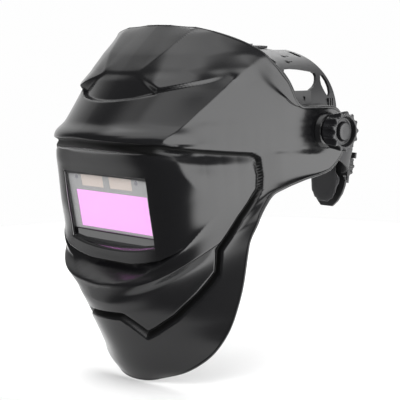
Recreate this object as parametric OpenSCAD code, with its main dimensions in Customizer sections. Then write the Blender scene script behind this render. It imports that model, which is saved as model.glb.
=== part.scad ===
// Welding helmet: tilting mask with an auto-darkening filter, on ratchet headgear.
// Millimetres. +Z up, the helmet faces -Y, the wearer's left is +X.
// The origin is the middle of the tilt axis, between the two side knobs.

/* [View] */
// Which node to show

/* [Shell] */
// Wall thickness of the moulded shell
wall = 2.4; // [1.8:0.2:3.2]
// Columns of the shell grid, rim to rim
shell_cols = 28; // [20:2:40]

/* [Window] */
// Width of the window opening
window_w = 112; // [100:1:114]
// Height of the window opening
window_h = 57; // [40:1:60]
// Lean of the window plane from upright
window_tilt = 11; // [0:1:20]
// Cartridge width
filter_w = 110; // [100:1:112]
// Cartridge height
filter_h = 90; // [70:1:96]
// Cartridge depth
filter_d = 9; // [7:0.5:12]
// Width of the viewing glass
glass_w = 92; // [80:1:100]
// Height of the viewing glass
glass_h = 33; // [30:1:42]

/* [Tilt joint] */
// Radius of the pivot bolt's shank
bolt_r = 4; // [3:0.25:5]
// Radius of the tightening knob
knob_r = 17.5; // [14:0.5:22]
// Lobes round the tightening knob
knob_lobes = 13; // [8:1:16]

/* [Headgear] */
// Half breadth of the headband at the hubs
band_a = 85; // [78:1:90]
// Half breadth of the rear band
rear_a = 80; // [76:1:84]
// Distance from tilt axis to the brow
band_front = 92; // [84:1:98]
// Distance from tilt axis to the nape, along the rear band
band_rear = 141; // [125:1:144]
// Headband strap thickness
band_t = 2.2; // [1.6:0.2:3]
// Slope of the rear band below level
nape_drop = 18.5; // [15:0.5:24]

/* [Ratchet] */
// Teeth on the pinion
pinion_teeth = 10; // [8:1:14]
// Gear module of the pinion and the racks
gear_module = 1.25; // [1:0.05:1.5]

/* [Hidden] */
$fn = 48;
run = 0.06;
black = [0.09, 0.09, 0.10];
dark = [0.14, 0.14, 0.15];
grey = [0.62, 0.62, 0.64];
steel = [0.66, 0.67, 0.70];
soft = [0.20, 0.20, 0.22];

// ---- Shell surface -------------------------------------------------------
// Each row of the shell is one arch: it starts at the midline point (0, py, pz),
// bends round a corner (kx, py, pz) with weight w, and ends on the rim at (ex, ey, ez).
// Columns: row position, py, pz, kx, w, ex, ey, ez. The rows run from chin to crown.
SHELL = [
    [0.000, -129, -216, 14, 1.0, 24, -125, -213],
    [0.050, -138, -204, 22, 1.0, 52, -116, -203],
    [0.110, -148, -188, 26, 1.0, 74, -104, -184],
    [0.190, -160, -168, 30, 1.05, 90, -98, -154],
    [0.270, -168, -152, 38, 1.15, 101, -98, -121],
    [0.330, -172, -140, 48, 1.3, 106, -97, -90],
    [0.375, -172, -127, 68, 1.8, 110, -88, -68],
    [0.390, -158, -113, 83, 2.4, 110, -80, -59],
    [0.430, -159, -95, 86, 2.5, 110, -66, -48],
    [0.500, -165, -62, 90, 2.6, 110, -35, -40],
    [0.570, -171, -28, 93, 2.6, 109, 0, -34],
    [0.600, -175, -15, 94, 2.4, 109, 16, -22],
    [0.615, -189, -9, 90, 1.6, 109, 20, -16],
    [0.625, -195, -3, 91, 1.2, 109, 22, -12],
    [0.680, -182, 10, 90, 1.2, 109, 21, 4],
    [0.730, -169, 25, 89, 1.2, 109, 14, 15],
    [0.760, -161, 34, 88, 1.2, 109, 4, 20],
    [0.775, -157, 38, 87, 1.2, 108, -30, 21],
    [0.830, -143, 53, 78, 1.2, 104, -50, 46],
    [0.890, -128, 68, 62, 1.2, 89, -70, 71],
    [0.950, -113, 81, 38, 1.1, 61, -93, 85.5],
    [1.000, -101, 91, 12, 1.0, 15, -100, 91]];

// Grid rows sit closer together where the brow folds under and at the ear corner.
ROW_AT = concat(
    [for (i = [0 : 9]) 0.36 * i / 9],
    [0.375, 0.3825, 0.390, 0.405],
    [for (i = [0 : 4]) 0.43 + 0.17 * i / 5],
    [0.600, 0.608, 0.615, 0.620, 0.626, 0.640],
    [for (i = [0 : 4]) 0.66 + 0.10 * i / 5],
    [0.760, 0.775],
    [for (i = [1 : 8]) 0.775 + 0.225 * i / 8]);

// Slope of column c at table row i, zero at a turning point (monotone cubic).
function shell_step(i, c) = (SHELL[i + 1][c] - SHELL[i][c]) / (SHELL[i + 1][0] - SHELL[i][0]);
function shell_slope(i, c) =
    i == 0 ? shell_step(0, c) :
    i == len(SHELL) - 1 ? shell_step(i - 1, c) :
    let (a = shell_step(i - 1, c), b = shell_step(i, c),
        h0 = SHELL[i][0] - SHELL[i - 1][0], h1 = SHELL[i + 1][0] - SHELL[i][0],
        w1 = 2 * h1 + h0, w2 = h1 + 2 * h0)
    a * b <= 0 ? 0 : (w1 + w2) / (w1 / a + w2 / b);
function shell_span(v, i = 0) =
    i >= len(SHELL) - 2 || v < SHELL[i + 1][0] ? i : shell_span(v, i + 1);
function shell_value(v, c) =
    let (i = shell_span(v), h = SHELL[i + 1][0] - SHELL[i][0], t = (v - SHELL[i][0]) / h)
    (2 * t ^ 3 - 3 * t ^ 2 + 1) * SHELL[i][c]
    + (t ^ 3 - 2 * t ^ 2 + t) * h * shell_slope(i, c)
    + (3 * t ^ 2 - 2 * t ^ 3) * SHELL[i + 1][c]
    + (t ^ 3 - t ^ 2) * h * shell_slope(i + 1, c);
function shell_row(v) = [for (c = [1 : 7]) shell_value(v, c)];
// Point on a row: q is the row, u runs from -1 (right rim) over 0 to 1 (left rim).
function shell_point(q, u) =
    let (a = abs(u), w0 = (1 - a) ^ 2, w1 = 2 * a * (1 - a) * q[3], w2 = a * a,
        d = w0 + w1 + w2)
    [sign(u) * (w1 * q[2] + w2 * q[4]) / d,
        ((w0 + w1) * q[0] + w2 * q[5]) / d,
        ((w0 + w1) * q[1] + w2 * q[6]) / d];
// Inward direction, from an egg fitted inside the shell.
function shell_in(p) =
    let (g = [p[0] / 110 ^ 2, (p[1] + 20) / 170 ^ 2, (p[2] + 50) / 190 ^ 2])
    -g / norm(g);

module shell_skin(t) {
    n = shell_cols;
    m = len(ROW_AT) - 1;
    outer = [for (v = ROW_AT) let (q = shell_row(v))
        for (j = [0 : n]) shell_point(q, 2 * j / n - 1)];
    inner = [for (p = outer) p + t * shell_in(p)];
    k = len(outer);
    w = n + 1;
    quads = concat(
        [for (i = [0 : m - 1]) for (j = [0 : n - 1])
            [i * w + j, i * w + j + 1, (i + 1) * w + j + 1, (i + 1) * w + j]],
        [for (i = [0 : m - 1]) for (j = [0 : n - 1])
            [k + i * w + j, k + (i + 1) * w + j, k + (i + 1) * w + j + 1, k + i * w + j + 1]],
        [for (i = [0 : m - 1])
            [i * w, (i + 1) * w, k + (i + 1) * w, k + i * w]],
        [for (i = [0 : m - 1])
            [i * w + n, k + i * w + n, k + (i + 1) * w + n, (i + 1) * w + n]],
        [for (j = [0 : n - 1])
            [j, k + j, k + j + 1, j + 1]],
        [for (j = [0 : n - 1])
            [m * w + j, m * w + j + 1, k + m * w + j + 1, k + m * w + j]]);
    faces = [for (f = quads) each [[f[0], f[2], f[1]], [f[0], f[3], f[2]]]];
    polyhedron(points = concat(outer, inner), faces = faces, convexity = 8);
}

// ---- Window frame of reference -------------------------------------------
// Local x to the wearer's left, local y inward, local z up the window plane.
window_y = -165;
window_z = -62;
lens_y = 10;
lens_t = 1;
filter_y = 11.3;
filter_z = -3;
glass_z = -7.5;
flange_y = 7.2;
flange_t = 2.5;
flange_w = 116;
flange_h = 113;
holder_t = 3.2;
holder_back = 21.2;
screw_x = 50;
screw_up = 52.6;

module window_frame() {
    translate([0, window_y, window_z]) rotate([window_tilt, 0, 0]) children();
}

// A plate in the window plane, y from y0 to y0 + t, centred on (cx, cz).
module plate(w, h, y0, t, cx = 0, cz = 0) {
    translate([cx - w / 2, y0, cz - h / 2]) cube([w, t, h]);
}

// A round bar along local y.
module bar_y(r, y0, l, x = 0, z = 0) {
    translate([x, y0, z]) rotate([-90, 0, 0]) cylinder(r = r, h = l);
}

// A round bar along X.
module bar_x(r, x0, l, y = 0, z = 0) {
    translate([x0, y, z]) rotate([0, 90, 0]) cylinder(r = r, h = l);
}

// The four screw places round the lens holder.
module screw_spots() {
    for (x = [-1, 1], z = [-1, 1]) translate([x * screw_x, 0, filter_z + z * screw_up]) children();
}

// ---- Mask ----------------------------------------------------------------
ear_face = 105.4;
ear_t = 5;
ear_r = 15.5;
tunnel_wall = 3;
front_r = 394;

module shell() {
    color(black) difference() {
        union() {
            shell_skin(wall);
            for (s = [-1, 1]) bar_x(ear_r, s > 0 ? ear_face : -ear_face - ear_t, ear_t);
            window_frame() intersection() {
                union() {
                    plate(window_w + 2 * tunnel_wall, window_h + 2 * tunnel_wall, 0, 9);
                    plate(flange_w, flange_h, flange_y, flange_t, 0, filter_z);
                }
                translate([0, front_r + 0.8, -80]) cylinder(r = front_r, h = 160, $fn = 200);
            }
        }
        for (s = [-1, 1]) {
            bar_x(bolt_r + run, s > 0 ? 90 : -120, 30);
            bar_x(ear_r - 1, s > 0 ? 90 : -ear_face, ear_face - 90);
        }
        window_frame() {
            plate(window_w, window_h, -20, 40);
            screw_spots() bar_y(1.2, flange_y - 1, 6);
        }
    }
}

module lens_holder() {
    iw = filter_w + 0.6;
    ih = filter_h + 0.6;
    color(black) window_frame() difference() {
        union() {
            plate(iw + 2 * holder_t, ih + 2 * holder_t, 9.8, holder_back - 9.8, 0, filter_z);
            screw_spots() bar_y(4.2, 9.8, 3);
            for (x = [-1, 1]) plate(3, 10, 20, 6, x * (iw / 2 + 1.6), filter_z - 42);
        }
        plate(iw, ih, 5, 40, 0, filter_z);
        screw_spots() bar_y(1.7, 5, 12);
        for (x = [-1, 1]) translate([x * (iw / 2 + 1.6), 23.4, filter_z - 42])
            bar_x(1.25 + run, -5, 10);
    }
}

module holder_screws() {
    color(steel) window_frame() screw_spots() {
        bar_y(1.1, 8.2, 4.8);
        difference() {
            bar_y(2.9, 12.95, 2);
            plate(4.4, 0.8, 14.2, 2);
            plate(0.8, 4.4, 14.2, 2);
        }
    }
}

module cover_lens() {
    color([0.85, 0.92, 0.95, 0.35]) window_frame()
        plate(filter_w, filter_h, lens_y, lens_t, 0, filter_z);
}

// ---- Auto-darkening cartridge --------------------------------------------
cell_w = 29;
cell_h = 15;
cell_z = 20.5;
cell_right_x = -22.5;
cell_left_x = 14.5;
sensor_z = 20.5;
sensor_right_x = -43;
sensor_left_x = 35;
split_y = 16.5;
dial_z = -38;
dial_x = 31;
dial_r = 9;

module filter_front() {
    color(grey) window_frame() difference() {
        plate(filter_w, filter_h, filter_y, split_y - filter_y, 0, filter_z);
        plate(glass_w + 0.2, glass_h + 0.2, filter_y - 1, 9, 0, glass_z);
        plate(filter_w - 6, 42, 14.4, 5, 0, glass_z);
        plate(filter_w - 6, 25, 13.4, 6, 0, 24.8);
        plate(filter_w - 6, 12, 13.4, 6, 0, -38);
        for (x = [cell_right_x, cell_left_x]) plate(cell_w + 0.2, cell_h + 0.2, filter_y - 1, 9, x, cell_z);
        for (x = [sensor_right_x, sensor_left_x]) bar_y(2.1, filter_y - 1, 9, x, sensor_z);
    }
}

module filter_glass() {
    color([0.95, 0.6, 0.95, 0.9]) window_frame()
        plate(glass_w, glass_h, filter_y + 0.5, 2.2, 0, glass_z);
}

module lcd_panel() {
    color([0.35, 0.4, 0.35, 0.9]) window_frame()
        plate(glass_w + 6, 40, 14.6, 1.8, 0, glass_z);
}

module solar_cell_right() {
    color([0.75, 0.7, 0.66]) window_frame()
        plate(cell_w, cell_h, filter_y + 0.3, 1.6, cell_right_x, cell_z);
}

module solar_cell_left() {
    color([0.75, 0.7, 0.66]) window_frame()
        plate(cell_w, cell_h, filter_y + 0.3, 1.6, cell_left_x, cell_z);
}

module arc_sensors() {
    color([0.1, 0.1, 0.12]) window_frame() for (x = [sensor_right_x, sensor_left_x])
        bar_y(2, filter_y + 0.3, 2.4, x, sensor_z);
}

module filter_rear() {
    color(dark) window_frame() difference() {
        plate(filter_w, filter_h, split_y + 0.02, filter_y + filter_d - split_y, 0, filter_z);
        plate(filter_w - 6, filter_h - 6, split_y - 1, 2.4, 0, filter_z);
        plate(glass_w + 0.2, glass_h + 6, split_y - 2, 9, 0, glass_z);
        for (x = [-1, 0, 1]) bar_y(2.5 + run, split_y - 1, 9, x * dial_x, dial_z);
        plate(104.4, 47.4, 19.3, 4, 0, glass_z);
    }
}

module circuit_board() {
    color([0.1, 0.35, 0.2]) window_frame() plate(100, 16, 14.6, 1.6, 0, 26);
}

module coin_cells() {
    color(steel) window_frame() for (x = [-1, 1]) bar_y(6, 16.6, 1.2, x * 24, 27);
}

module inner_lens() {
    color([0.85, 0.92, 0.95, 0.35]) window_frame() plate(104, 47, 19.5, 0.8, 0, glass_z);
}

module dial(x) {
    color(black) window_frame() difference() {
        union() {
            bar_y(2.5, 17.6, 4, x, dial_z);
            bar_y(dial_r, 20.7, 3.6, x, dial_z);
        }
        for (i = [0 : 11]) translate([x, 0, dial_z]) rotate([0, i * 30, 0])
            bar_y(1.1, 20, 6, dial_r + 0.4, 0);
        plate(1.2, 6, 23.8, 2, x, dial_z + 4);
    }
}

module shade_dial() {
    dial(-dial_x);
}

module sensitivity_dial() {
    dial(0);
}

module delay_dial() {
    dial(dial_x);
}

// Wire bail that swings up behind the cartridge and snaps over its top edge.
bail_x = 56.9;
bail_y = 23.4;
bail_z = -45;
bail_top = 38;

module retaining_bail() {
    color(steel) window_frame() union() {
        for (s = [-1, 1]) {
            bar_x(1.25, s > 0 ? bail_x - 3.2 : -bail_x - 3.2, 6.4, bail_y, bail_z);
            translate([s * (bail_x - 2.9), bail_y, bail_z]) cylinder(r = 1.25, h = bail_top - bail_z);
            translate([s * (bail_x - 2.9), bail_y, bail_z]) sphere(r = 1.25, $fn = 24);
            translate([s * (bail_x - 2.9), bail_y, bail_top]) sphere(r = 1.25, $fn = 24);
        }
        bar_x(1.25, -bail_x + 2.9, 2 * (bail_x - 2.9), bail_y, bail_top);
    }
}

// ---- Tilt joint ----------------------------------------------------------
hub_x = 93;
hub_t = 4.6;
hub_r = 19;

module both_sides() {
    children();
    mirror([1, 0, 0]) children();
}

module pivot_bolts() {
    color(steel) both_sides() union() {
        bar_x(9, hub_x - 3, 2.9);
        bar_x(bolt_r, hub_x - 1, 30);
    }
}

module stop_plates() {
    color(black) both_sides() difference() {
        union() {
            bar_x(15, 97.8, 3.2);
            translate([97.8, -6, -24]) cube([3.2, 12, 14]);
        }
        bar_x(bolt_r + run, 90, 20);
        bar_x(1.8, 90, 20, 0, -19.5);
    }
}

module friction_washers() {
    color([0.75, 0.73, 0.68]) both_sides() difference() {
        bar_x(13, 101.2, 3.9);
        bar_x(bolt_r + run, 90, 20);
    }
}

module thrust_washers() {
    color(steel) both_sides() difference() {
        bar_x(11, 110.6, 1.2);
        bar_x(bolt_r + run, 105, 20);
    }
}

// Knob: scalloped grip with deep flutes, a ring recess in its face, a blind bore.
knob_in = 112.2;
knob_out = 127.5;

module tilt_knob() {
    color(black) difference() {
        union() {
            bar_x(knob_r - 2.2, knob_in, knob_out - knob_in - 0.6);
            for (i = [0 : knob_lobes - 1]) rotate([i * 360 / knob_lobes, 0, 0])
                bar_x(2.5, knob_in + 0.6, knob_out - knob_in - 0.6, knob_r - 2.5, 0);
        }
        difference() {
            bar_x(11.5, knob_out - 3.5, 6);
            bar_x(8, knob_out - 4, 5);
        }
        bar_x(bolt_r + run, knob_in - 2, 12.5);
    }
}

module tilt_knob_left() {
    tilt_knob();
}

module tilt_knob_right() {
    mirror([1, 0, 0]) tilt_knob();
}

// ---- Headgear ------------------------------------------------------------
// Outline of an oval with half axes a and b, angles a0 to a1 measured from +X.
// The power e squares the oval off below 1 and points it above 1.
function bent(q, e) = sign(q) * abs(q) ^ e;
function arc_pts(a, b, a0, a1, n, e) =
    [for (i = [0 : n]) let (t = a0 + (a1 - a0) * i / n) [a * bent(cos(t), e), b * bent(sin(t), e)]];
function strip(a, b, t, a0, a1, n, e = 1) = concat(
    arc_pts(a, b, a0, a1, n, e), arc_pts(a - t, b - t, a1, a0, n, e));

brow_z = 4;
brow_h = 30;
nape_h = 20;
rear_e = 1.08;
unit_y = 130;
unit_z = -45;
unit_tilt = 8;

module nape_tilt() {
    rotate([-nape_drop, 0, 0]) children();
}

// Frame of the nape unit: local y runs rearwards from the face of its plate.
module nape_unit() {
    translate([0, unit_y, unit_z]) rotate([-unit_tilt, 0, 0]) children();
}

module head_frame() {
    color(dark) difference() {
        union() {
            translate([0, 0, brow_z]) linear_extrude(brow_h)
                polygon(strip(band_a + 2, band_front, band_t, 180, 360, 56));
            nape_tilt() translate([0, 0, -nape_h / 2]) linear_extrude(nape_h) {
                polygon(strip(rear_a, band_rear, band_t, 0, 74, 36, rear_e));
                polygon(strip(rear_a, band_rear, band_t, 106, 180, 36, rear_e));
            }
            both_sides() {
                bar_x(hub_r, hub_x, hub_t);
                translate([rear_a - band_t, -13, -12]) cube([hub_x - rear_a + 4, 26, 34]);
                nape_unit() plate(14, 20, -2.5, 2.45, 18);
            }
        }
        both_sides() {
            bar_x(bolt_r + run, 70, 40);
            bar_x(10.5, 70, hub_x - 70);
            for (y = [-1, 1]) translate([70, y * 8.5 - 1.5, 25]) cube([30, 3, 4]);
        }
        for (a = [-46, -30, -14, 14, 30, 46]) rotate([0, 0, a])
            translate([-5, -110, brow_z + 9]) cube([10, 40, 12]);
    }
}

// Crown strap: an arch in the XZ plane, windowed at the side like a lattice.
crown_a = 88;
crown_c = 60.5;
crown_e = 0.89;
crown_z = 10;
crown_y0 = -24;
crown_y1 = 34;
lap_gap = 0.35;

module crown_arch(da, a0, a1) {
    translate([0, crown_y1, crown_z]) rotate([90, 0, 0]) linear_extrude(crown_y1 - crown_y0)
        polygon(strip(crown_a + da, crown_c + da, band_t, a0, a1, 56, crown_e));
}

// Cut through the side of the strap, outline in (y, z).
module side_cut(pts) {
    translate([40, 0, 0]) rotate([90, 0, 90]) linear_extrude(60) polygon(pts);
}

// Cut down through the top of the strap: a slot with round ends along X.
module top_slot(x0, x1, y, r) {
    translate([0, y, 40]) {
        translate([x0, 0, 0]) cylinder(r = r, h = 60);
        translate([x1, 0, 0]) cylinder(r = r, h = 60);
        translate([x0, -r, 0]) cube([x1 - x0, 2 * r, 60]);
    }
}

// Side opening, oval beside it, front leg, slot and the two buttonholes.
module strap_lattice() {
    side_cut([[-17, 50], [-14, 52], [-6, 52.3], [6, 51.5], [15, 50.2], [20, 49.4], [21.8, 47.8],
        [20.6, 45.4], [17.5, 42.2], [14.5, 39.6], [10, 36.8], [3, 34], [-5, 32], [-12, 31.4],
        [-16, 32.4], [-17, 35]]);
    side_cut([[29, 47.4], [30.4, 46.2], [30.6, 41], [29.8, 35.5], [28.4, 31], [26.4, 28.6],
        [24.4, 28.6], [22.6, 31], [21.4, 35], [21.2, 38.6], [23, 42.4], [26.4, 46]]);
    side_cut([[-30, 8], [-13, 8], [-13, 22], [-20, 27], [-22, 34], [-22, 46], [-18, 56], [-14, 58],
        [-12, 90], [-30, 90]]);
    bar_x(1.9, 40, 70, 7.3, 20);
    top_slot(37, 47, 27.8, 2.4);
    for (p = [[47.7, 6.7], [58, 0.7]]) {
        translate([p[0], p[1], 40]) cylinder(r = 2.3, h = 60);
        translate([p[0] - 0.8, p[1], 40]) cube([1.6, 7, 60]);
    }
}

// Three grip ribs on the strap's lower corner.
module strap_ribs() {
    for (i = [0 : 2]) translate([84.6, 23 + 2.6 * i, 16]) cube([3.6, 1.2, 10.5]);
}

// The strap narrows to a tongue over the crown, where the two halves lap.
module tongue_trim() {
    translate([-34, -40, 60]) cube([60, 33, 30]);
    translate([20, -40, 58]) cube([26, 28, 30]);
    translate([-34, 17, 60]) cube([60, 33, 30]);
}

module crown_strap_left() {
    color(dark) difference() {
        union() {
            crown_arch(0, 6, 97);
            strap_ribs();
        }
        strap_lattice();
        for (x = [-4, 6, 16]) translate([x, 5, 60]) cylinder(r = 2.6, h = 30);
        tongue_trim();
    }
}

module crown_strap_right() {
    color(dark) mirror([1, 0, 0]) difference() {
        union() {
            crown_arch(band_t + lap_gap, 7, 100);
            strap_ribs();
        }
        strap_lattice();
        tongue_trim();
        for (x = [-6, 4]) translate([x, 5, 60]) cylinder(r = 2.6, h = 30);
    }
}

module strap_pegs() {
    color(black) for (x = [-4, 6]) translate([x, 5, 0]) {
        translate([0, 0, 67]) cylinder(r = 2.45, h = 6.8);
        translate([0, 0, 73.2]) cylinder(r = 4.2, h = 1.1);
    }
}

module brow_pad() {
    color(soft) translate([0, 0, brow_z - 3]) linear_extrude(brow_h + 6)
        polygon(strip(band_a - 0.8, band_front - band_t - 0.6, 6, 212, 328, 48));
}

// ---- Nape ratchet --------------------------------------------------------
pitch_r = gear_module * pinion_teeth / 2;
tooth_pitch = PI * gear_module;
rack_y = 3.8;
rack_t = 2.4;
cover_y = 6.8;
box_w = 36;
box_h = 34;
knob_y = 10.2;

// Tongue outline of the nape plate, grown by g all round: a narrow neck between the
// band ends, shoulders below them, and a rounded tip.
function tongue(g) = [
    [-15 - g, 17 + g], [15 + g, 17 + g], [15 + g, -10 + g], [19.5 + g, -12 + g], [21 + g, -15],
    [20.5 + g, -20], [18 + g, -28], [13 + g, -36], [7 + g, -41.5 - g], [-7 - g, -41.5 - g],
    [-13 - g, -36], [-18 - g, -28], [-20.5 - g, -20], [-21 - g, -15], [-19.5 - g, -12 + g],
    [-15 - g, -10 + g]];

module nape_pad() {
    color(soft) nape_unit() translate([0, -2.9, 0]) rotate([90, 0, 0]) linear_extrude(6)
        polygon(tongue(-0.8));
}

module ratchet_base() {
    color(black) nape_unit() difference() {
        union() {
            translate([0, 2.4, 0]) rotate([90, 0, 0]) linear_extrude(2.4) polygon(tongue(0));
            plate(box_w, box_h, 0, 3.2);
            for (z = [-1, 1]) plate(box_w, 3, 0, 6.7, 0, z * (box_h / 2 - 1.5));
        }
        bar_y(3 + run, -1, 9);
        for (x = [-1, 1]) bar_y(1.2, 0.8, 9, x * 14.5, 0);
    }
}

module ratchet_cover() {
    color(black) nape_unit() difference() {
        plate(box_w, box_h, cover_y, 2.6);
        bar_y(3 + run, cover_y - 1, 9);
        for (x = [-1, 1]) bar_y(1.6, cover_y - 1, 9, x * 14.5, 0);
    }
}

module ratchet_screws() {
    color(steel) nape_unit() for (x = [-1, 1]) {
        bar_y(1.1, 1, 8.9, x * 14.5, 0);
        bar_y(2.4, cover_y + 2.65, 0.7, x * 14.5, 0);
    }
}

// Trapezoid tooth on a straight rack, pointing down, its pitch line at z = 0.
module rack_tooth() {
    polygon([[-1.25, 1.6], [-0.2, -1.0], [0.2, -1.0], [1.25, 1.6]]);
}

// Strap end with a toothed lower edge, from x = x0 to x1 at rest.
module rack(x0, x1) {
    translate([0, rack_y + rack_t, 0]) rotate([90, 0, 0]) linear_extrude(rack_t) union() {
        translate([x0, pitch_r + 1.5]) square([x1 - x0, 5.7]);
        for (i = [-4 : 5]) translate([(i + 0.5) * tooth_pitch, pitch_r]) rack_tooth();
    }
}

module rack_left() {
    color(dark) nape_unit() rack(-17, 27);
}

module rack_right() {
    color(dark) nape_unit() rotate([0, 180, 0]) rack(-17, 27);
}

module ratchet_pinion() {
    color(black) nape_unit() union() {
        bar_y(pitch_r - 1.5, rack_y - 0.2, rack_t + 0.4);
        bar_y(3, 0.4, 11.6);
        translate([0, rack_y + rack_t, 0]) rotate([90, 0, 0]) linear_extrude(rack_t)
            for (i = [0 : pinion_teeth - 1]) rotate(i * 360 / pinion_teeth + 90)
                translate([pitch_r, 0]) polygon([[-2.2, -1.1], [1.0, -0.32], [1.0, 0.32], [-2.2, 1.1]]);
    }
}

module ratchet_knob() {
    color(black) nape_unit() difference() {
        union() {
            bar_y(14, knob_y, 9);
            for (i = [0 : 13]) rotate([0, i * 360 / 14, 0]) bar_y(1.7, knob_y + 0.4, 8, 14.1, 0);
        }
        bar_y(10, knob_y + 7, 6);
        bar_y(3.02, knob_y - 1, 3);
    }
}

shell();
lens_holder();
holder_screws();
cover_lens();
filter_front();
filter_rear();
filter_glass();
lcd_panel();
solar_cell_right();
solar_cell_left();
arc_sensors();
circuit_board();
coin_cells();
inner_lens();
shade_dial();
sensitivity_dial();
delay_dial();
retaining_bail();
head_frame();
crown_strap_left();
crown_strap_right();
strap_pegs();
pivot_bolts();
stop_plates();
friction_washers();
thrust_washers();
tilt_knob_left();
tilt_knob_right();
brow_pad();
nape_pad();
ratchet_base();
ratchet_cover();
ratchet_screws();
rack_left();
rack_right();
ratchet_pinion();
ratchet_knob();
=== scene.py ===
import math
import bpy
import numpy as np
from mathutils import Matrix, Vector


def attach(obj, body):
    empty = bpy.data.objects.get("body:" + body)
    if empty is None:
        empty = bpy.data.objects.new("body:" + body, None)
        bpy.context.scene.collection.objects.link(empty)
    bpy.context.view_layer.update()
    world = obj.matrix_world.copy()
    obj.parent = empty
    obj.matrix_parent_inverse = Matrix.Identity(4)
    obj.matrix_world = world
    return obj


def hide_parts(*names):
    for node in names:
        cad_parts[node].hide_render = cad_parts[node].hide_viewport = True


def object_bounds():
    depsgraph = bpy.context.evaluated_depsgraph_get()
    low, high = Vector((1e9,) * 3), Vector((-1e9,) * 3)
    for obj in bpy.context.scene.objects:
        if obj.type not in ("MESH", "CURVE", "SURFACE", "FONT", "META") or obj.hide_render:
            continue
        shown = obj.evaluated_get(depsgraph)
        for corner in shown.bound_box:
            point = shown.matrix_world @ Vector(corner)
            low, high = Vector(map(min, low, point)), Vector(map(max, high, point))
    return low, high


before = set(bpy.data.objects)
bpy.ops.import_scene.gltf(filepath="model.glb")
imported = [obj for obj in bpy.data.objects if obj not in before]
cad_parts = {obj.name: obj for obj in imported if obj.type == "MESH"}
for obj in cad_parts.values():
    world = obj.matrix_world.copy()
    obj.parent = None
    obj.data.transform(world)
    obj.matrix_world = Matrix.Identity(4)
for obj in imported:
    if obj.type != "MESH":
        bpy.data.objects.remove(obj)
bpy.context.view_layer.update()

# ---------------------------------------------------------------------------
# Shell. One injection moulding in glossy black nylon, 2.4 mm thick, from the
# crown over the brow and window box down to the chin, with an ear tab each side.
# ---------------------------------------------------------------------------
WALL = 2.4
# Rows from chin to crown: row position, py, pz, kx, w, ex, ey, ez in millimetres.
# A row starts at (0, py, pz), bends round (kx, py, pz) and ends at (ex, ey, ez).
SHELL_ROWS = np.array([
    [0.000, -129, -216, 14, 1.0, 24, -125, -213],
    [0.050, -138, -204, 22, 1.0, 52, -116, -203],
    [0.110, -148, -188, 26, 1.0, 74, -104, -184],
    [0.190, -160, -168, 30, 1.05, 90, -98, -154],
    [0.270, -168, -152, 38, 1.15, 101, -98, -121],
    [0.330, -172, -140, 48, 1.3, 106, -97, -90],
    [0.375, -172, -127, 68, 1.8, 110, -88, -68],
    [0.390, -158, -113, 83, 2.4, 110, -80, -59],
    [0.430, -159, -95, 86, 2.5, 110, -66, -48],
    [0.500, -165, -62, 90, 2.6, 110, -35, -40],
    [0.570, -171, -28, 93, 2.6, 109, 0, -34],
    [0.600, -175, -15, 94, 2.4, 109, 16, -22],
    [0.615, -189, -9, 90, 1.6, 109, 20, -16],
    [0.625, -195, -3, 91, 1.2, 109, 22, -12],
    [0.680, -182, 10, 90, 1.2, 109, 21, 4],
    [0.730, -169, 25, 89, 1.2, 109, 14, 15],
    [0.760, -161, 34, 88, 1.2, 109, 4, 20],
    [0.775, -157, 38, 87, 1.2, 108, -30, 21],
    [0.830, -143, 53, 78, 1.2, 104, -50, 46],
    [0.890, -128, 68, 62, 1.2, 89, -70, 71],
    [0.950, -113, 81, 38, 1.1, 61, -93, 85.5],
    [1.000, -101, 91, 12, 1.0, 15, -100, 91]])


def smooth_table(at, table):
    """Monotone cubic through the rows of a table; slopes are zero at turning points."""
    x, y = table[:, 0], table[:, 1:]
    h = np.diff(x)
    step = np.diff(y, axis=0) / h[:, None]
    slope = np.zeros_like(y)
    a, b = step[:-1], step[1:]
    w1 = (2 * h[1:] + h[:-1])[:, None]
    w2 = (h[1:] + 2 * h[:-1])[:, None]
    same = a * b > 0
    safe_a, safe_b = np.where(same, a, 1), np.where(same, b, 1)
    slope[1:-1] = np.where(same, (w1 + w2) / (w1 / safe_a + w2 / safe_b), 0)
    slope[0], slope[-1] = step[0], step[-1]
    i = np.clip(np.searchsorted(x, at, side="right") - 1, 0, len(x) - 2)
    t = ((at - x[i]) / h[i])[:, None]
    k = h[i][:, None]
    return ((2 * t**3 - 3 * t**2 + 1) * y[i] + (t**3 - 2 * t**2 + t) * k * slope[i]
            + (3 * t**2 - 2 * t**3) * y[i + 1] + (t**3 - t**2) * k * slope[i + 1])


def shell_surface(u, rows):
    """Point on each row: a rational quadratic from midline over corner to rim, u 0..1 signed."""
    py, pz, kx, w, ex, ey, ez = [rows[:, c][:, None] for c in range(7)]
    a = np.abs(u)
    w0, w1, w2 = (1 - a) ** 2, 2 * a * (1 - a) * w, a * a
    d = w0 + w1 + w2
    x = np.sign(u) * (w1 * kx + w2 * ex) / d
    y = ((w0 + w1) * py + w2 * ey) / d
    z = ((w0 + w1) * pz + w2 * ez) / d
    return np.stack([x, y, z], -1)


def inward(p):
    """Inward unit vector: the gradient of an egg fitted inside the shell, in millimetres."""
    g = np.stack([p[..., 0] / 110**2, (p[..., 1] + 20) / 170**2, (p[..., 2] + 50) / 190**2], -1)
    return -g / np.linalg.norm(g, axis=-1, keepdims=True)


def ease(t):
    """Smooth step from 0 to 1 for t from 0 to 1."""
    t = np.clip(t, 0, 1)
    return t * t * (3 - 2 * t)


def line_distance(s, z, line):
    """Shortest distance in the plane from every (s, z) to an open polyline."""
    best = np.full(s.shape, 1e9)
    for (s0, z0), (s1, z1) in zip(line[:-1], line[1:]):
        ds, dz = s1 - s0, z1 - z0
        t = np.clip(((s - s0) * ds + (z - z0) * dz) / (ds * ds + dz * dz), 0, 1)
        best = np.minimum(best, np.hypot(s - s0 - t * ds, z - z0 - t * dz))
    return best


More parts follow.
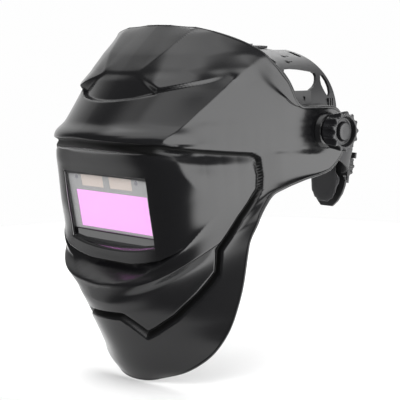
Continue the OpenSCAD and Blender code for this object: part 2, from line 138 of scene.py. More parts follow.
def inside(s, z, ring):
    """True where (s, z) lies inside a closed ring, by counting edge crossings."""
    odd = np.zeros(s.shape, bool)
    for (s0, z0), (s1, z1) in zip(ring, np.roll(ring, -1, axis=0)):
        cross = (z0 > z) != (z1 > z)
        odd ^= cross & (s < (s1 - s0) * (z - z0) / (z1 - z0 + 1e-12) + s0)
    return odd


# The face panel's border in (angle from the midline in degrees, height in mm).
DEG = 2.62  # millimetres along the face for one degree
PANEL_EDGE = np.array([
    [0, -156.5], [6.8, -156.5], [9.2, -163], [12.9, -174.5], [17, -168], [23.9, -155.5],
    [32.2, -135.5], [35.6, -125.2], [38.6, -114.5], [39.3, -94.5], [45.6, -70], [53.6, -46.5],
    [54, -34], [53, -18], [50.2, -14.5], [39.6, -11.8], [31.2, -9.2], [23.4, -5.6],
    [15.9, -4], [8.6, -2.5], [0, -1.4]])
# More lines on the same two measures: window box and ledge edges, scoop outline, dome step, creases.
LIP = np.array([[0, -109], [9.7, -109], [15.8, -106.3], [21.2, -102.6], [26, -95.5], [32, -82],
                [60, -20]])
LEDGE = np.array([[0, -127], [5.5, -125.6], [10.9, -121], [16, -114.8], [21.2, -106.8],
                  [25.1, -99.5], [28.8, -90.6], [32.1, -80.4], [60, 0]])
SCOOP = np.array([[0, 26.5], [5, 27.2], [11, 29.2], [18.2, 33.4], [18.8, 37.5], [8.2, 52.7], [0, 52.7]])
STEP = np.array([[18.6, 35.2], [25.3, 39], [32.7, 43], [40.1, 47.4]])
DOME_CREASE = np.array([[26, 93], [16.9, 71], [9.6, 53.5]])
BROW_CREASE = np.array([[42, 45], [31.5, 19.5], [23.3, -3]])
SIDE_CREASE = np.array([[42, 45], [55, 65]])
EAR_CREASE = np.array([[42, 45], [66, 41]])
# Brow band by angle: radius just above its lower edge, and slope, both kept down to the groove.
BROW_LEVEL = np.array([
    [20, 177.8, 0.65], [25, 167.8, 0.53], [30, 157.3, 0.40], [35, 147.3, 0.28], [40, 138.3, 0.20],
    [45, 130.7, 0.13], [50, 124.3, 0.10], [55, 119, 0.08], [60, 114.8, 0.07], [66, 111, 0.05]])
SCALE = np.array([DEG, 1])
# Depths and heights of the moulded detail, in millimetres.
GROOVE_DEPTH, PANEL_RISE, BROW_RISE = 5.0, 3.4, 2.2
NOTCH_DEPTH, LEDGE_PROUD = 7.5, 1.5
SCOOP_DEPTH, DOME_PROUD = 4.6, 3.8


def crease(s, z, line, drop, reach):
    """Sinks both sides of a line by drop within about reach millimetres, so the line stands as an edge."""
    away = line_distance(s, z, line * SCALE)
    return drop * (1 - np.exp(-away / reach)) * np.exp(-(away / (4 * reach)) ** 2)


def panel_gap(s, z):
    """Distance in from the panel's border, negative outside it."""
    edge = PANEL_EDGE * SCALE
    ring = np.vstack([edge, edge[::-1] * [-1, 1]])
    gap = line_distance(s, z, edge)
    return np.where(inside(s, z, ring), gap, -gap)


def relief(p):
    """Depth of the moulded detail below the plain surface, in millimetres, inward positive."""
    phi = np.degrees(np.arctan2(np.abs(p[..., 0]), -p[..., 1]))
    z = p[..., 2]
    s = phi * DEG
    # Panel: a groove all round it, with a broad lit chamfer along the top.
    gap = panel_gap(s, z)
    brow = ease((z + 34) / 16)
    side_rise = PANEL_RISE * ease((gap - 3.6) / 2.2)
    top_rise = (BROW_RISE + 1.5 * (1 - ease((phi - 20) / 6))) * np.clip((gap - 3.0) / 9.0, 0, 1)
    depth = (GROOVE_DEPTH - 0.8 * brow) * ease(gap / (3.0 - 0.8 * brow))
    depth = depth - side_rise * (1 - brow) - top_rise * brow
    level, slope = [np.interp(phi, BROW_LEVEL[:, 0], BROW_LEVEL[:, k]) for k in (1, 2)]
    over = np.clip(np.hypot(p[..., 0], p[..., 1]) - level + slope * (z + 3), -3, 9)
    over = over * ease((phi - 26) / 8) * (1 - ease((phi - 54) / 9)) * ease((18 - z) / 12)
    depth += over * (1 - ease((gap - 11) / 55)) * (1 - ease((-24 - z) / 50))
    # Notch under the window box, out again to the ledge.
    lip = np.interp(phi, LIP[:, 0], LIP[:, 1])
    ledge = np.interp(phi, LEDGE[:, 0], LEDGE[:, 1])
    room = np.maximum(lip - ledge, 1.5)
    t = (lip - z) / room
    notch = ease(t / 0.16) * np.clip(1 - t, 0, 1) ** 0.8
    depth += NOTCH_DEPTH * notch * (1 - ease((phi - 17) / 14))
    depth -= LEDGE_PROUD * np.exp(-np.abs(z - ledge) / 3) * (1 - ease((phi - 30) / 10))
    # Scoop in the forehead, deepest at its lower edge, its floor level with the brow band.
    mirror = np.vstack([SCOOP * SCALE, (SCOOP * SCALE)[::-1] * [-1, 1]])
    rim = line_distance(s, z, SCOOP * SCALE)
    hollow = np.where(inside(s, z, mirror), ease(rim / 3.2), 0)
    depth += SCOOP_DEPTH * np.clip((54.5 - z) / 24, 0, 1.1) * hollow
    # The dome stands out over the brow band beside the scoop, less and less to the side.
    above = z - np.interp(phi, STEP[:, 0], STEP[:, 1])
    fade = ease((phi - 9) / 9) * (1 - ease((phi - 22) / 19))
    overhang = ease(above / 2.2) * np.exp(-np.maximum(above - 3, 0) / 17)
    depth -= DOME_PROUD * fade * (1 - hollow) * overhang
    depth += crease(s, z, DOME_CREASE, 1.8, 13) * ease((z - 44) / 8)
    depth += crease(s, z, BROW_CREASE, 2.4, 12) * ease((z + 24) / 14) * (1 - ease((z - 44) / 12))
    depth += crease(s, z, SIDE_CREASE, 1.4, 10) * ease((z - 36) / 10)
    depth += crease(s, z, EAR_CREASE, 0.5, 8) * ease((z - 30) / 10) * (1 - ease((phi - 50) / 12))
    return depth * (1 - ease((p[..., 1] + 60) / 20))


WINDOW_LOW, WINDOW_HIGH, WINDOW_HALF = 0.4285, 0.5575, 56.0
FOLD_AT = 0.62  # row position, halfway over the brow's bend, where the face mesh meets the crown mesh
# Bands of grid rows from chin to crown: first and last row position, and number of rows.
BANDS = [(0, 0.30, 62), (0.30, 0.375, 22), (0.375, WINDOW_LOW, 34), (WINDOW_LOW, WINDOW_HIGH, 34),
         (WINDOW_HIGH, 0.60, 14), (0.60, 0.64, 26), (0.64, 0.735, 24), (0.735, 0.85, 46)]
CROWN_BAND = (0.85, 1.0, 28)
row_at = np.concatenate([np.linspace(*band, endpoint=False) for band in BANDS]
                        + [np.linspace(*CROWN_BAND)])
low_row, high_row, fold = [int(np.abs(row_at - at).argmin()) for at in (WINDOW_LOW, WINDOW_HIGH, FOLD_AT)]
rows = smooth_table(row_at, SHELL_ROWS)
# The window's own frame: the window leans forward at the top.
TILT = math.radians(11)
WINDOW_AT = np.array([0, -165.0, -62.0])
WINDOW_IN = np.array([0, math.cos(TILT), math.sin(TILT)])
WINDOW_UP = np.array([0, -math.sin(TILT), math.cos(TILT)])
WINDOW_BOW = 4.5


def column_grid(rows, half_inner, half_outer):
    """Signed column positions per row; one column on each side follows x = 56 mm at the window."""
    dense = np.linspace(0, 1, 401)
    x = shell_surface(dense[None, :], rows)[..., 0]
    goal = np.minimum(WINDOW_HALF, 0.5 * rows[:, 4])
    at = np.array([np.interp(g, xs, dense) for g, xs in zip(goal, x)])[:, None]
    near = at * np.linspace(0, 1, half_inner + 1)[None, :]
    t = np.linspace(0, 1, half_outer + 1)[None, 1:]
    far = at + (1 - at) * (0.7 * t + 0.3 * t * t * t)
    half = np.hstack([near, far])
    return np.hstack([-half[:, :0:-1], half])


HALF_IN, HALF_OUT = 36, 190
columns = column_grid(rows, HALF_IN, HALF_OUT)
base = shell_surface(columns, rows)


def calm(grid, weight, times):
    """Averages each point with its neighbours up and down its column, where weight is above 0."""
    for _ in range(times):
        mean = (np.roll(grid, 1, axis=0) + np.roll(grid, -1, axis=0)) / 2
        grid = grid + 0.5 * weight[..., None] * (mean - grid)
    return grid


# The ear corner's bend in the rows is kept at the rim and smoothed out elsewhere.
bend = ease((row_at - 0.69) / 0.03) * (1 - ease((row_at - 0.84) / 0.04))
base = calm(base, bend[:, None] * (1 - ease((np.abs(columns) - 0.86) / 0.12)), 500)
# The window's lower edge bows down in the middle.
near = np.clip(1 - np.abs(np.arange(len(row_at)) - low_row) / 22, 0, 1)[:, None]
bow = WINDOW_BOW * ease(near) * np.clip(1 - (base[..., 0] / WINDOW_HALF) ** 2, 0, 1)
base = base - bow[..., None] * WINDOW_UP
sunk = relief(base)[..., None]
skin = base + sunk * inward(base)


def mesh_object(name, points, faces, smooth=True):
    """A mesh object in metres from point and face arrays."""
    mesh = bpy.data.meshes.new(name)
    mesh.from_pydata(np.asarray(points, float).reshape(-1, 3).tolist(), [],
                     [list(map(int, f)) for f in faces])
    mesh.polygons.foreach_set("use_smooth", np.full(len(mesh.polygons), smooth))
    mesh.update()
    piece = bpy.data.objects.new(name, mesh)
    bpy.context.scene.collection.objects.link(piece)
    return piece


def grid_faces(m, n, flip=False):
    """Quads of an m by n point grid, in row order."""
    i, j = np.meshgrid(np.arange(m - 1), np.arange(n - 1), indexing="ij")
    a = (i * n + j).ravel()
    quads = np.stack([a, a + 1, a + n + 1, a + n], -1)
    return quads[:, ::-1] if flip else quads


m, n = base.shape[:2]
centre = n // 2
left, right = centre - HALF_IN, centre + HALF_IN
EAR_HOLE, EAR_SIDE = 15.3, 95.0


def window_hole(i, j):
    """True for quads in the window opening, from their row and column."""
    return (i >= low_row) & (i < high_row) & (j >= left) & (j < right)


def ear_hole(points):
    """True for points in the round opening at each ear that the boss fills."""
    near_axis = np.hypot(points[..., 1], points[..., 2]) < EAR_HOLE
    return (near_axis & (np.abs(points[..., 0]) > EAR_SIDE)).ravel()


# The inside follows the outside, but stays plain and thin where the lens holder's corners come near.
THIN_WALL = 0.5
by_holder = (ease((72 - np.abs(base[..., 0:1])) / 8) * ease((base[..., 2:3] + 50) / 10)
             * ease((-8 - base[..., 2:3]) / 4))
inner_depth = (by_holder * np.maximum(WALL, sunk + THIN_WALL)
               + (1 - by_holder) * (WALL + np.clip(sunk, 0, None)))
inner_skin = base + inner_depth * inward(base)
quads = grid_faces(m, n)
i_q, j_q = quads[:, 0] // n, quads[:, 0] % n
hole = window_hole(i_q, j_q) | ear_hole(skin)[quads].all(axis=1)
shell_face = mesh_object("shell_face", skin / 1000, quads[~hole & (i_q < fold)])
shell_crown = mesh_object("shell_crown", skin / 1000, quads[~hole & (i_q >= fold)])

# How far each point lies in the groove or the recess over the window, where painted shade goes: a darker,
# low-gloss shader stands in for the shade there.
base_phi = np.degrees(np.arctan2(np.abs(base[..., 0]), -base[..., 1]))
border = panel_gap(base_phi * DEG, base[..., 2])
groove_shade_amount = ease(border / 1.6) * (1 - ease((border - 2.8) / 1.6))
soffit = ease(border / 0.8) * (1 - ease((border - 8.5) / 1.5)) * (1 - ease((base_phi - 21) / 3))
groove_shade_amount = np.maximum(groove_shade_amount, soffit * ease((base[..., 2] + 18) / 3)).ravel()
for part in (shell_face, shell_crown):
    part.data.attributes.new("groove", "FLOAT", "POINT").data.foreach_set("value", groove_shade_amount)

# Inner skin on every second row and column, then the round bead that joins the two skins.
rim_i = np.unique(np.concatenate([np.arange(0, m, 2), [low_row, high_row, m - 1]]))
rim_j = np.unique(np.concatenate([np.arange(0, n, 2), [left, right, n - 1]]))
back = inner_skin[np.ix_(rim_i, rim_j)]
mb, nb = back.shape[:2]
bq = grid_faces(mb, nb, flip=True)
hole_b = window_hole(rim_i[bq[:, 3] // nb], rim_j[bq[:, 3] % nb]) | ear_hole(back)[bq].any(axis=1)
shell_inner = mesh_object("shell_inner", back / 1000, bq[~hole_b])


def loop_of(grid):
    """Border points of a grid, once round."""
    return np.vstack([grid[0, :-1], grid[:-1, -1], grid[-1, :0:-1], grid[:0:-1, 0]])


RIM_RADIUS = 1.5
outer_loop, inner_loop = loop_of(skin), loop_of(inner_skin)
middle = (outer_loop + inner_loop) / 2
forward = np.roll(middle, -3, axis=0) - np.roll(middle, 3, axis=0)
forward /= np.linalg.norm(forward, axis=-1, keepdims=True)
through = (outer_loop - inner_loop) / np.linalg.norm(outer_loop - inner_loop, axis=-1, keepdims=True)
across = np.cross(forward, through)
angle = np.linspace(0, 2 * math.pi, 19)[:, None, None]
rim_grid = middle + RIM_RADIUS * (np.cos(angle) * through + np.sin(angle) * across)
rim_grid = np.concatenate([rim_grid, rim_grid[:, :1]], axis=1)
shell_rim = mesh_object("shell_rim", rim_grid / 1000, grid_faces(*rim_grid.shape[:2]))
for part in (shell_face, shell_crown, shell_inner, shell_rim):
    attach(part, "mask")
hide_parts("shell")


class Wire:
    """A shader socket; arithmetic on it adds Math nodes."""

    def __init__(self, nodes, socket):
        self.nodes, self.socket = nodes, socket

    def math(self, operation, *values):
        return self.nodes.add("ShaderNodeMath", {"operation": operation}, dict(enumerate(values)))

    def ramp(self, start, stop, low=0.0, high=1.0):
        """Smooth rise from low at start to high at stop."""
        return self.nodes.add("ShaderNodeMapRange", {"interpolation_type": "SMOOTHSTEP"}, {
            0: self, 1: start, 2: stop, 3: low, 4: high})

    def __add__(self, other):
        return self.math("ADD", self, other)

    def __sub__(self, other):
        return self.math("SUBTRACT", self, other)

    def __mul__(self, other):
        return self.math("MULTIPLY", self, other)

    __radd__ = __add__


class Nodes:
    """A node tree that hands out Wires."""

    def __init__(self, tree):
        self.tree = tree

    def add(self, kind, settings=None, inputs=None, out=0):
        """Any node: its type, settings, and the values or links of its sockets."""
        node = self.tree.nodes.new(kind)
        for key, value in (settings or {}).items():
            setattr(node, key, value)
        for key, value in (inputs or {}).items():
            self.feed(node.inputs[key], value)
        return Wire(self, node.outputs[out])

    def feed(self, target, value):
        """Links a Wire to a socket, or sets the socket's own value."""
        if isinstance(value, Wire):
            self.tree.links.new(value.socket, target)
        else:
            target.default_value = (*value, 1) if isinstance(value, tuple) and len(value) == 3 else value


class Paint(Nodes):
    """One material with a Principled shader."""

    def __init__(self, name, **sockets):
        self.material = bpy.data.materials.new(name)
        self.material.use_nodes = True
        super().__init__(self.material.node_tree)
        self.shader = self.tree.nodes["Principled BSDF"]
        for key, value in sockets.items():
            self.set(key.replace("_", " "), value)

    def set(self, socket, value):
        self.feed(self.shader.inputs[socket], value)

    def place(self):
        return self.add("ShaderNodeTexCoord", out=3)

    def noise(self, scale, detail=3.0, rough=0.55, at=None):
        return self.add("ShaderNodeTexNoise", {}, {"Vector": at or self.place(), "Scale": scale,
                                                  "Detail": detail, "Roughness": rough})

    def bump(self, height, strength, distance):
        self.set("Normal", self.add("ShaderNodeBump", {}, {
            "Height": height, "Strength": strength, "Distance": distance}))


def moulded_black(name, colour, gloss, grain, depth, wear):
    """Injection-moulded black plastic: fine grain in the bump, faint handling marks in the gloss."""
    paint = Paint(name, Base_Color=colour, Specular_IOR_Level=0.5)
    marks = paint.noise(38, 5.0, 0.6)
    dust = paint.noise(900, 2.0)
    paint.set("Roughness", gloss + marks * wear + dust * (wear * 0.4))
    paint.bump(paint.noise(grain, 2.0), 0.25, depth)
    return paint.material


def finish(piece, material):
    """Puts one material on a piece, in place of what it had."""
    piece.data.materials.clear()
    piece.data.materials.append(material)


shell_black = moulded_black("shell_black", (0.004, 0.004, 0.0045), 0.15, 900, 0.000005, 0.08)
shell_nodes = Nodes(shell_black.node_tree)
# Painted shade: a darker, low-gloss shader, mixed in by the groove attribute, darkens the groove and the
# recess under the brow.
painted_shade = shell_nodes.add("ShaderNodeBsdfPrincipled", {}, {
    "Base Color": (0.002, 0.002, 0.002, 1), "Roughness": 0.65, "Specular IOR Level": 0.12})
painted_shade_mask = shell_nodes.add("ShaderNodeAttribute", {"attribute_name": "groove"}, out=2)
polished = Wire(shell_nodes, shell_black.node_tree.nodes["Principled BSDF"].outputs[0])
blend = shell_nodes.add("ShaderNodeMixShader", {}, {0: painted_shade_mask, 1: polished, 2: painted_shade})
shell_nodes.feed(shell_black.node_tree.nodes["Material Output"].inputs["Surface"], blend)
shell_matt = moulded_black("shell_inside", (0.016, 0.016, 0.017), 0.42, 900, 0.00008, 0.12)
for part in (shell_face, shell_crown, shell_rim, shell_inner):
    finish(part, shell_matt if part is shell_inner else shell_black)

# ---------------------------------------------------------------------------
# Window tunnel. Part of the shell moulding: four polished walls that run in
# from the opening to the flange the lens holder is screwed to.
# ---------------------------------------------------------------------------


def window_point(x, y, z):
    """Point in the window's own frame: x left, y inward, z up the window plane, mm."""
    x, y, z = [np.asarray(part)[..., None] for part in (x, y, z)]
    return WINDOW_AT + np.array([1.0, 0, 0]) * x + WINDOW_IN * y + WINDOW_UP * z


mouth = np.vstack([skin[low_row, left:right], skin[low_row:high_row, right],
                   skin[high_row, right:left:-1], skin[high_row:low_row:-1, left]])
local_z = (mouth - WINDOW_AT) @ WINDOW_UP
local_y = (mouth - WINDOW_AT) @ WINDOW_IN
FLANGE_IN, SILL_AT = 9.7, -26.2
# Rings from mouth to flange: part of the way in, rounding of the lip, and step up of the sill.
rings = []
for t, round_in, riser in ((0, 0, 0), (0.03, 0.2, 0), (0.08, 0.55, 0), (0.16, 0.85, 0), (0.3, 1, 0),
                           (0.76, 1, 0), (0.78, 1, 0.1), (0.82, 1, 0.9), (0.86, 1, 1), (1, 1, 1)):
    step_up = 3.0 * min(t, 0.76) * (1 - riser) + riser * (SILL_AT - local_z)
    rings.append(window_point(mouth[:, 0] * (1 - 0.012 * round_in), local_y * (1 - t) + FLANGE_IN * t,
                              local_z * (1 - 0.02 * round_in) + np.where(local_z < -25, step_up, 0)))
tunnel_grid = np.stack(rings)
tunnel_grid = np.concatenate([tunnel_grid, tunnel_grid[:, :1]], axis=1)
window_tunnel = mesh_object("window_tunnel", tunnel_grid / 1000, grid_faces(*tunnel_grid.shape[:2]))


def frame_ring(name, sizes, centre_z):
    """A plate with a hole: closed rings of (half width, half height, y, corner) round one loop."""
    steps = 128
    turn = np.linspace(0, 2 * math.pi, steps + 1)
    c, q = np.cos(turn), np.sin(turn)
    rings = []
    for half_w, half_h, y, corner in sizes:
        x = np.clip(c * 1.7, -1, 1) * (half_w - corner) + corner * c
        z = np.clip(q * 1.7, -1, 1) * (half_h - corner) + corner * q
        rings.append(window_point(x, np.full(steps + 1, y), z + centre_z))
    rings.append(rings[0])
    faces = grid_faces(len(rings), steps + 1, flip=True)
    return mesh_object(name, np.stack(rings) / 1000, faces, smooth=False)


window_flange = frame_ring("window_flange", [
    (56.2, 28.7, 9.7, 2), (56.2, 28.7, 7.6, 2), (57, 51.7, 7.6, 16), (57.6, 52, 7.9, 16),
    (57.6, 52, 9.7, 16)], -4)
sill_gloss = Paint("sill_gloss", Base_Color=(0.004, 0.004, 0.0045), Roughness=0.07, IOR=2.1).material
for part in (window_tunnel, window_flange):
    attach(part, "mask")
    finish(part, sill_gloss if part is window_tunnel else shell_matt)

# ---------------------------------------------------------------------------
# Ear bosses. Part of the shell moulding: a flat round pad each side, bored
# for the pivot bolt, that the washers and the tightening knob clamp on.
# ---------------------------------------------------------------------------


def lathe(name, side, profile, lobes=0, steps=96):
    """Turned form about the X axis from rows of (x, radius, flute depth); flutes are parabolas.

    r(angle) = radius - depth * max(0, 1 - (t / 0.82)^2), t = 0 in a flute's middle and 1 on a land.
    """
    profile = np.array(profile, float)
    turn = np.linspace(0, 2 * math.pi, steps + 1)
    t = np.abs((turn * lobes / (2 * math.pi)) % 1 - 0.5) * 2
    flute = np.maximum(0, 1 - (t / 0.82) ** 2) if lobes else np.zeros(steps + 1)
    r = profile[:, 1:2] - profile[:, 2:3] * flute[None, :]
    x = np.repeat(profile[:, :1], steps + 1, axis=1) * side
    grid = np.stack([x, r * np.cos(turn), r * np.sin(turn)], -1)
    return mesh_object(name, grid / 1000, grid_faces(*grid.shape[:2], flip=side < 0))


def softened(corners, cut=0.35):
    """Rounds each corner of a profile with four points cut back along its two edges."""
    p = np.array(corners, float)
    out = [p[0]]
    for before, at, after in zip(p[:-2], p[1:-1], p[2:]):
        a = at + (before - at) * min(0.45, cut / (np.linalg.norm((before - at)[:2]) + 1e-9))
        b = at + (after - at) * min(0.45, cut / (np.linalg.norm((after - at)[:2]) + 1e-9))
        out += [a * (1 - k) ** 2 + 2 * at * k * (1 - k) + b * k ** 2 for k in (0, 0.33, 0.67, 1)]
    return out + [p[-1]]


BOSS = [(105.4, 4.1, 0), (105.4, 16.4, 0), (106.4, 16.4, 0), (109.4, 14.0, 0),
        (110.4, 12.6, 0), (110.4, 4.1, 0), (105.4, 4.1, 0)]
for word, side in (("left", 1), ("right", -1)):
    boss = lathe("ear_boss_" + word, side, softened(BOSS))
    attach(boss, "mask")
    finish(boss, shell_black)

# ---------------------------------------------------------------------------
# Other moulded and metal pieces keep their CAD shape and get their finish.
# ---------------------------------------------------------------------------
strap_black = moulded_black("strap_black", (0.008, 0.008, 0.009), 0.42, 1100, 0.00006, 0.10)
knob_black = moulded_black("knob_black", (0.014, 0.014, 0.015), 0.30, 1200, 0.00005, 0.10)
holder_black = moulded_black("holder_black", (0.016, 0.016, 0.017), 0.45, 1000, 0.00008, 0.10)
housing_grey = moulded_black("housing_grey", (0.23, 0.23, 0.235), 0.50, 1500, 0.00004, 0.08)
nylon = moulded_black("nylon_natural", (0.62, 0.59, 0.52), 0.40, 800, 0.00005, 0.10)
solder_mask = moulded_black("solder_mask", (0.02, 0.12, 0.05), 0.30, 600, 0.00004, 0.10)


def zinc(name, colour, gloss):
    """Zinc-plated steel: bright, with a faint streaked polish."""
    paint = Paint(name, Base_Color=colour, Metallic=1.0)
    streak = paint.noise(260, 3.0)
    paint.set("Roughness", gloss + streak * 0.18)
    paint.bump(paint.noise(1800, 2.0), 0.2, 0.00003)
    return paint.material


steel = zinc("zinc_steel", (0.62, 0.63, 0.65), 0.24)

clear = Paint("clear_lens", Base_Color=(1.0, 1.0, 1.0), Roughness=0.02, IOR=1.25, Alpha=0.10)
clear.bump(clear.noise(60, 2.0), 0.02, 0.0001)
# Filter glass: its own pink coating colour, plus an emission that paints on a pink glow, light the glass
# does not give off.
glass_pink_glow = Paint("filter_coating_glow", Base_Color=(0.66, 0.18, 0.64), Roughness=0.08)
glass_pink_glow.set("Emission Color", (1.0, 0.46, 1.0, 1))
glass_pink_glow.set("Emission Strength", 0.42)
glass_pink_glow.bump(glass_pink_glow.noise(30, 2.0), 0.02, 0.0001)
solar = Paint("solar_film", Base_Color=(0.50, 0.42, 0.37), Roughness=0.25)
solar.bump(solar.noise(700, 2.0), 0.1, 0.00003)
sensor = Paint("sensor_window", Base_Color=(0.10, 0.10, 0.13), Roughness=0.12)
sensor.bump(sensor.noise(400, 2.0), 0.05, 0.00003)
laminate = Paint("shutter_laminate", Base_Color=(0.10, 0.14, 0.11), Roughness=0.10)
laminate.bump(laminate.noise(200, 2.0), 0.03, 0.00003)

CAD_FINISH = {
    "lens_holder": holder_black, "holder_screws": steel, "cover_lens": clear.material,
    "filter_front": housing_grey, "filter_rear": holder_black, "filter_glass": glass_pink_glow.material,
    "lcd_panel": laminate.material, "solar_cell_right": solar.material,
    "solar_cell_left": solar.material, "arc_sensors": sensor.material,
    "circuit_board": solder_mask, "coin_cells": steel, "inner_lens": clear.material,
    "shade_dial": knob_black, "sensitivity_dial": knob_black, "delay_dial": knob_black,
    "retaining_bail": steel, "head_frame": strap_black, "crown_strap_left": strap_black,
    "crown_strap_right": strap_black, "strap_pegs": knob_black, "pivot_bolts": steel,
    "stop_plates": holder_black, "friction_washers": nylon, "thrust_washers": steel,
    "ratchet_base": holder_black, "ratchet_cover": holder_black, "ratchet_screws": steel,
    "rack_left": strap_black, "rack_right": strap_black, "ratchet_pinion": holder_black,
    "ratchet_knob": knob_black}
for node, material in CAD_FINISH.items():
    finish(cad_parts[node], material)

# ---------------------------------------------------------------------------
# Tightening knobs. Glass-filled nylon, 35 mm across, thirteen scooped flutes
# for a gloved hand, and a turned recess round a plain centre disc.
# ---------------------------------------------------------------------------
knob_gloss = moulded_black("knob_gloss", (0.010, 0.010, 0.011), 0.20, 1200, 0.00002, 0.12)
KNOB = [(124.2, 0, 0), (124.2, 4.06, 0), (112.2, 4.06, 0), (112.2, 13.6, 0), (113.0, 14.6, 0.2),
        (114.2, 15.6, 1.6), (119.5, 16.3, 2.7), (124.6, 17.2, 2.9), (126.0, 17.5, 2.6),
        (127.1, 16.9, 2.3), (127.5, 15.7, 1.5), (127.5, 13.3, 0.2), (127.0, 12.7, 0),
        (123.3, 12.2, 0), (122.7, 11.5, 0), (122.7, 8.6, 0), (123.2, 8.0, 0), (126.3, 7.8, 0),
        (126.9, 7.2, 0), (127.0, 4.0, 0), (127.0, 0, 0)]
for word, side in (("left", 1), ("right", -1)):
    knob = lathe("knob_grip_" + word, side, softened(KNOB, 0.3), lobes=13, steps=312)
    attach(knob, "knob_" + word)
    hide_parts("tilt_knob_" + word)
    finish(knob, knob_gloss)

# ---------------------------------------------------------------------------
# Pads. Black knit over foam: the brow pad is wrapped on the front of the
# headband, and the nape pad sits on the front of the nape unit.
# ---------------------------------------------------------------------------


def cloth_paint(name, colour, thread):
    """Knit: crossed threads as a fine bump, with fibre-soft sheen and slight fading."""
    paint = Paint(name, Roughness=0.92, Sheen_Weight=0.25)
    place = paint.place()
    x, y, z = [paint.add("ShaderNodeSeparateXYZ", {}, {0: place}, out=k) for k in range(3)]
    weave = x.math("SINE", (x + y) * thread) * z.math("SINE", z * thread)
    worn = paint.noise(45, 4.0)
    paint.set("Base Color", paint.add("ShaderNodeMix", {"data_type": "RGBA"}, {
        0: worn, 6: tuple(0.7 * c for c in colour), 7: tuple(1.4 * c for c in colour)}, out=2))
    paint.bump(weave + paint.noise(1500, 2.0), 0.6, 0.00018)
    return paint.material


CLOTH_FRAMES = 20


def swell(piece, voxel, pressure, cap):
    """Fills a closed pad: even voxels, pressure cloth, travel held under cap."""
    scene = bpy.context.scene
    remesh = piece.modifiers.new("remesh", "REMESH")
    remesh.mode, remesh.voxel_size = "VOXEL", voxel
    even = bpy.data.meshes.new_from_object(piece.evaluated_get(bpy.context.evaluated_depsgraph_get()))
    piece.modifiers.remove(remesh)
    piece.data = even
    start = np.empty(len(even.vertices) * 3)
    even.vertices.foreach_get("co", start)
    cloth = piece.modifiers.new("cloth", "CLOTH")
    cloth.settings.use_pressure = True
    cloth.settings.uniform_pressure_force = pressure
    cloth.settings.effector_weights.gravity = 0
    for frame_at in range(1, CLOTH_FRAMES + 1):
        scene.frame_set(frame_at)
    bpy.context.view_layer.update()
    done = piece.evaluated_get(bpy.context.evaluated_depsgraph_get()).to_mesh()
    end = np.empty(len(start))
    done.vertices.foreach_get("co", end)
    move = (end - start).reshape(-1, 3)
    far = np.linalg.norm(move, axis=1, keepdims=True)
    move *= np.minimum(1, cap / np.maximum(far, 1e-9))
    piece.modifiers.remove(cloth)
    even.vertices.foreach_set("co", start + move.ravel())
    scene.frame_set(1)
    even.polygons.foreach_set("use_smooth", np.ones(len(even.polygons), bool))
    even.update()


sweatband = cloth_paint("sweatband_knit", (0.016, 0.016, 0.018), 5200)
nape_knit = cloth_paint("nape_knit", (0.020, 0.020, 0.022), 4200)

# Brow pad: superellipse section carried round the headband's oval, ends closed.
along = np.radians(np.linspace(213.5, 326.5, 61))
end_in = np.minimum(1, np.sqrt(np.clip(1 - (np.abs(np.linspace(-1, 1, 61)) ** 14), 0, 1)) + 0.02)
around = np.linspace(0, 2 * math.pi, 33)
PAD_THICK, PAD_HIGH, PAD_AT = 2.5, 16.6, 19
BAND_HALF_WIDTH, BAND_HALF_LENGTH, PAD_INSET = 84.2, 89.2, 3.0
sec_t = PAD_THICK * np.sign(np.cos(around)) * np.abs(np.cos(around)) ** 0.6
sec_z = PAD_HIGH * np.sign(np.sin(around)) * np.abs(np.sin(around)) ** 0.5
mid_a, mid_b = BAND_HALF_WIDTH - PAD_INSET, BAND_HALF_LENGTH - PAD_INSET
cx, cy = mid_a * np.cos(along), mid_b * np.sin(along)
nx, ny = mid_b * np.cos(along), mid_a * np.sin(along)
size = np.hypot(nx, ny)
nx, ny = nx / size, ny / size
offset = sec_t[None, :] * end_in[:, None]
pad = np.stack([cx[:, None] + nx[:, None] * offset, cy[:, None] + ny[:, None] * offset,
                PAD_AT + sec_z[None, :] * end_in[:, None] ** 0.5], -1)
brow_soft = mesh_object("brow_pad_soft", pad / 1000, grid_faces(61, 33))
swell(brow_soft, 0.0036, 4.0, 0.0005)

# Nape pad: the tongue outline drawn in to a pole on both faces, crowned to the front.
TONGUE = np.array([[-15, 17], [15, 17], [15, -10], [19.5, -12], [21, -15], [20.5, -20], [18, -28],
                   [13, -36], [7, -41.5], [-7, -41.5], [-13, -36], [-18, -28], [-20.5, -20],
                   [-21, -15], [-19.5, -12], [-15, -10]]) * 0.955
closed = np.vstack([TONGUE, TONGUE[:1]])
length = np.concatenate([[0], np.cumsum(np.linalg.norm(np.diff(closed, axis=0), axis=1))])
even_at = np.linspace(0, length[-1], 121)
loop = np.stack([np.interp(even_at, length, closed[:, k]) for k in range(2)], -1)
heart = np.array([0, -12.0])
UNIT_AT, UNIT_TILT = np.array([0, 130.0, -45.0]), math.radians(8)


def unit_point(x, y, z):
    """Point in the nape unit's frame: y rearwards from the plate's face, z up the plate, mm."""
    c, q = math.cos(UNIT_TILT), math.sin(UNIT_TILT)
    return np.stack([x, UNIT_AT[1] + y * c + z * q, UNIT_AT[2] - y * q + z * c], -1)


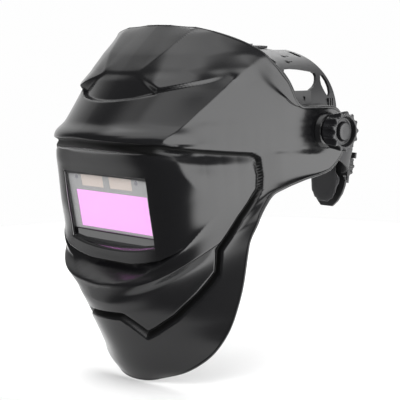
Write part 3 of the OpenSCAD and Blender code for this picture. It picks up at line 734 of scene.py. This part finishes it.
# Rings of the pad: size against the outline, and y in the nape unit's frame.
rings = [(0.0, -8.2), (0.35, -8.2), (0.7, -8.1), (0.88, -7.7), (0.965, -6.9), (1.0, -5.9),
         (0.965, -4.6), (0.88, -3.9), (0.5, -3.6), (0.0, -3.6)]
layers = []
for k, y in rings:
    drawn_in = heart + (loop - heart) * k
    layers.append(unit_point(drawn_in[:, 0], y, drawn_in[:, 1]))
nape_soft = mesh_object("nape_pad_soft", np.stack(layers) / 1000, grid_faces(len(rings), len(loop)))
swell(nape_soft, 0.003, 4.0, 0.0006)
for part, node, paint, fill in ((brow_soft, "brow_pad", sweatband, 0.6),
                                (nape_soft, "nape_pad", nape_knit, 0.7)):
    part.modifiers.new("round", "SUBSURF").levels = 1
    part.modifiers["round"].render_levels = 1
    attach(part, "headgear")
    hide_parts(node)
    finish(part, paint)

# ---------------------------------------------------------------------------
# Studio: a pale round floor, a surround with soft bright panels, two soft
# boxes and the camera.
# ---------------------------------------------------------------------------
low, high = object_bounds()
FLOOR_RADIUS, FLOOR_GAP = 0.57, 0.001
turn = np.linspace(0, 2 * math.pi, 97)[:-1]
ring = np.stack([np.cos(turn), np.sin(turn), np.zeros(96)], -1)
table_at = np.array([-0.28, 0.27, low[2] - FLOOR_GAP])
floor = mesh_object("floor", ring * FLOOR_RADIUS + table_at, [range(96)], smooth=False)
pale = Paint("pale_floor", Base_Color=(0.9, 0.9, 0.9), Roughness=0.8)
pale.bump(pale.noise(20, 2.0), 0.02, 0.0001)
finish(floor, pale.material)

world = bpy.data.worlds.new("surround")
bpy.context.scene.world = world
world.use_nodes = True
sky = Nodes(world.node_tree)
way = sky.add("ShaderNodeTexCoord")
x, y, z = [sky.add("ShaderNodeSeparateXYZ", {}, {0: way}, out=k) for k in range(3)]
heading = y.math("ARCTAN2", y, x) * (180 / math.pi)
BEHIND_AT = 136  # heading of the pale wall behind the helmet, seen from the camera
behind = heading.math("COSINE", (heading - BEHIND_AT) * (math.pi / 180))
rise = z.math("ARCSINE", z) * (180 / math.pi)


def window_light(start, stop, low, high, soft):
    """A soft-edged panel in the surround between two headings and two heights, in degrees."""
    return (heading.ramp(start - soft, start + soft) * heading.ramp(stop - soft, stop + soft, 1.0, 0.0)
            * rise.ramp(low - soft, low + soft) * rise.ramp(high - soft, high + soft, 1.0, 0.0))


glow = (0.14 + behind.ramp(0.45, 0.85, 0.0, 0.85)
        + window_light(-18, 52, -60, 33, 9) * 4.2
        + window_light(-164, -128, -45, 2, 12) * 0.9
        + window_light(-75, -18, 36, 62, 8) * 1.6
        + rise.ramp(54, 66) * 2.0)
background = world.node_tree.nodes["Background"]
sky.feed(background.inputs["Strength"], glow)
background.inputs["Color"].default_value = (1, 1, 1, 1)

AZIMUTH, ELEVATION = math.radians(46), math.radians(7)
CAMERA_AWAY, CAMERA_LEFT, CAMERA_DOWN = 1.2, 0.0363, 0.0695
camera_right = np.array([math.cos(AZIMUTH), math.sin(AZIMUTH), 0])
camera_back = np.array([math.sin(AZIMUTH) * math.cos(ELEVATION),
                        -math.cos(AZIMUTH) * math.cos(ELEVATION), math.sin(ELEVATION)])
camera_up = np.cross(camera_back, camera_right)
camera_at = CAMERA_AWAY * camera_back - CAMERA_LEFT * camera_right - CAMERA_DOWN * camera_up


def soft_box(name, at, size, power, aim=(0, -0.05, -0.03)):
    """A square area light at a point, aimed at the helmet."""
    light = bpy.data.lights.new(name, "AREA")
    light.size, light.energy = size, power
    holder = bpy.data.objects.new(name, light)
    bpy.context.scene.collection.objects.link(holder)
    back = np.array(at, float) - np.array(aim, float)
    back /= np.linalg.norm(back)
    side = np.cross([0, 0, 1.0], back)
    side /= np.linalg.norm(side)
    up = np.cross(back, side)
    holder.matrix_world = Matrix([[side[k], up[k], back[k], at[k]] for k in range(3)] + [[0, 0, 0, 1]])
    return holder


soft_box("box_table", (-1.2, 1.3, 1.2), 1.0, 12, (-0.35, 0.35, -0.2))
fill = soft_box("box_front", (0.3, -1.6, 0.5), 1.2, 28)
fill.visible_glossy = False

camera = bpy.data.cameras.new("camera")
camera.lens, camera.sensor_width = 117.0, 36.0
camera_rig = bpy.data.objects.new("camera", camera)
bpy.context.scene.collection.objects.link(camera_rig)
camera_rig.matrix_world = Matrix([[camera_right[k], camera_up[k], camera_back[k], camera_at[k]]
                                  for k in range(3)] + [[0, 0, 0, 1]])
bpy.context.scene.camera = camera_rig
bpy.context.scene.view_settings.view_transform = "Standard"
